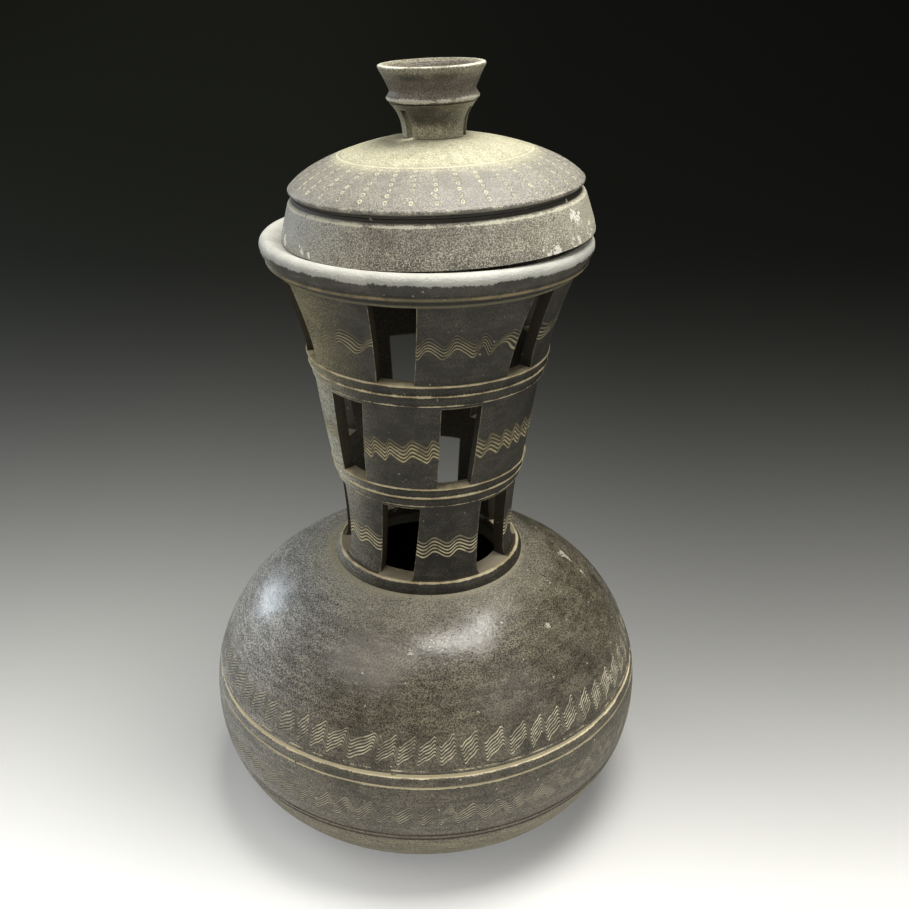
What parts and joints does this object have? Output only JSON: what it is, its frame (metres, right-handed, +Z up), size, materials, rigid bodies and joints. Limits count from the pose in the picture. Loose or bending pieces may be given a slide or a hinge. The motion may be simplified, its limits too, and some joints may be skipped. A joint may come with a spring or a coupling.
{
  "type": "long-necked jar",
  "caption": "Round-bellied stoneware jar with a tall flared neck pierced by windows, a rolled lip and a loose domed lid with a cup-shaped knob.",
  "frame": {"origin": "centre of the flat face that the jar stands on", "axes": "+Z up along the jar's axis, front of the jar towards -Y, +X to its right"},
  "size_m": [0.245, 0.245, 0.4044],
  "materials": {
    "body_stoneware": "dark grey-brown, half gloss",
    "neck_stoneware": "charcoal, nearly matt",
    "rim_stoneware": "pale ash grey, matt",
    "lid_stoneware": "ash grey, matt",
    "knob_stoneware": "olive brown, matt"
  },
  "bodies": {
    "jar": {"base_bowl": "body_stoneware", "shoulder": "body_stoneware", "neck_foot_ring": "neck_stoneware", "neck_lower_tier": "neck_stoneware", "neck_lower_band": "neck_stoneware", "neck_middle_tier": "neck_stoneware", "neck_upper_band": "neck_stoneware", "neck_upper_tier": "neck_stoneware", "mouth_rim": "rim_stoneware"},
    "lid": {"lid_skirt": "lid_stoneware", "lid_dome": "lid_stoneware", "lid_knob_stem": "knob_stoneware", "lid_knob_cup": "knob_stoneware"}
  },
  "joints": [
    {"name": "lid_lift", "type": "slide", "parent": "jar", "child": "lid", "axis": [0, 0, 1], "range_m": [0, 0.13]}
  ]
}
